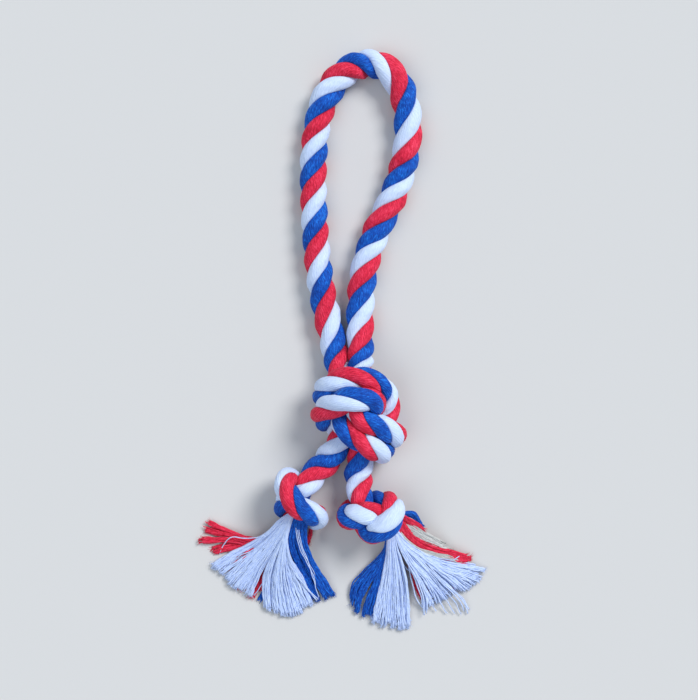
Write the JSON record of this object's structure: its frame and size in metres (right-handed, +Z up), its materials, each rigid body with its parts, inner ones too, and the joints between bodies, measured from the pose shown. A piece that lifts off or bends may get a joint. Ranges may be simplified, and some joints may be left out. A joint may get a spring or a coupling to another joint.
{
  "type": "rope dog toy",
  "caption": "Soft rope pull toy: three-colour laid cotton rope with a long handle loop, a doubled overhand main knot and knotted tails ending in frayed tassels.",
  "frame": {"origin": "middle of the toy's outline, on the floor it lies on", "axes": "+Y from the tassels to the crown of the handle loop, +Z up from the floor, +X across the toy to the right tail's side"},
  "size_m": [0.1874, 0.387, 0.0477],
  "materials": {
    "cotton_red": "matte fuzzy cotton yarn",
    "cotton_white": "matte fuzzy cotton yarn",
    "cotton_blue": "matte fuzzy cotton yarn"
  },
  "bodies": {
    "main_knot": {"main_knot_left_red": "cotton_red", "main_knot_left_white": "cotton_white", "main_knot_left_blue": "cotton_blue", "main_knot_right_red": "cotton_red", "main_knot_right_white": "cotton_white", "main_knot_right_blue": "cotton_blue"},
    "loop_lower": {"left_leg_red": "cotton_red", "left_leg_white": "cotton_white", "left_leg_blue": "cotton_blue", "right_leg_red": "cotton_red", "right_leg_white": "cotton_white", "right_leg_blue": "cotton_blue"},
    "loop_upper": {"loop_crown_red": "cotton_red", "loop_crown_white": "cotton_white", "loop_crown_blue": "cotton_blue"},
    "left_tail": {"left_end_knot_red": "cotton_red", "left_end_knot_white": "cotton_white", "left_end_knot_blue": "cotton_blue"},
    "right_tail": {"right_end_knot_red": "cotton_red", "right_end_knot_white": "cotton_white", "right_end_knot_blue": "cotton_blue"},
    "left_tassel": {"left_tassel_red": "cotton_red", "left_tassel_white": "cotton_white", "left_tassel_blue": "cotton_blue"},
    "right_tassel": {"right_tassel_red": "cotton_red", "right_tassel_white": "cotton_white", "right_tassel_blue": "cotton_blue"}
  },
  "joints": [
    {"name": "loop_lift", "type": "hinge", "parent": "main_knot", "child": "loop_lower", "pos_m": [0.00057, 0.001, 0.01061], "axis": [1, 0, 0], "range_deg": [0, 45]},
    {"name": "loop_fold", "type": "hinge", "parent": "loop_lower", "child": "loop_upper", "pos_m": [0.00368, 0.09131, 0.00855], "axis": [1, 0, 0], "range_deg": [0, 60]},
    {"name": "left_tail_swing", "type": "hinge", "parent": "main_knot", "child": "left_tail", "pos_m": [-0.01228, -0.07693, 0.01446], "axis": [0, 0, 1], "range_deg": [-30, 5]},
    {"name": "right_tail_swing", "type": "hinge", "parent": "main_knot", "child": "right_tail", "pos_m": [0.00826, -0.08699, 0.01352], "axis": [0, 0, 1], "range_deg": [-5, 25]},
    {"name": "left_tassel_lift", "type": "hinge", "parent": "left_tail", "child": "left_tassel", "pos_m": [-0.02807, -0.12678, 0.01039], "axis": [-0.8387, 0.5446, 0], "range_deg": [0, 30]},
    {"name": "right_tassel_lift", "type": "hinge", "parent": "right_tail", "child": "right_tassel", "pos_m": [0.03856, -0.12776, 0.00756], "axis": [-0.9397, -0.342, 0], "range_deg": [0, 30]}
  ]
}
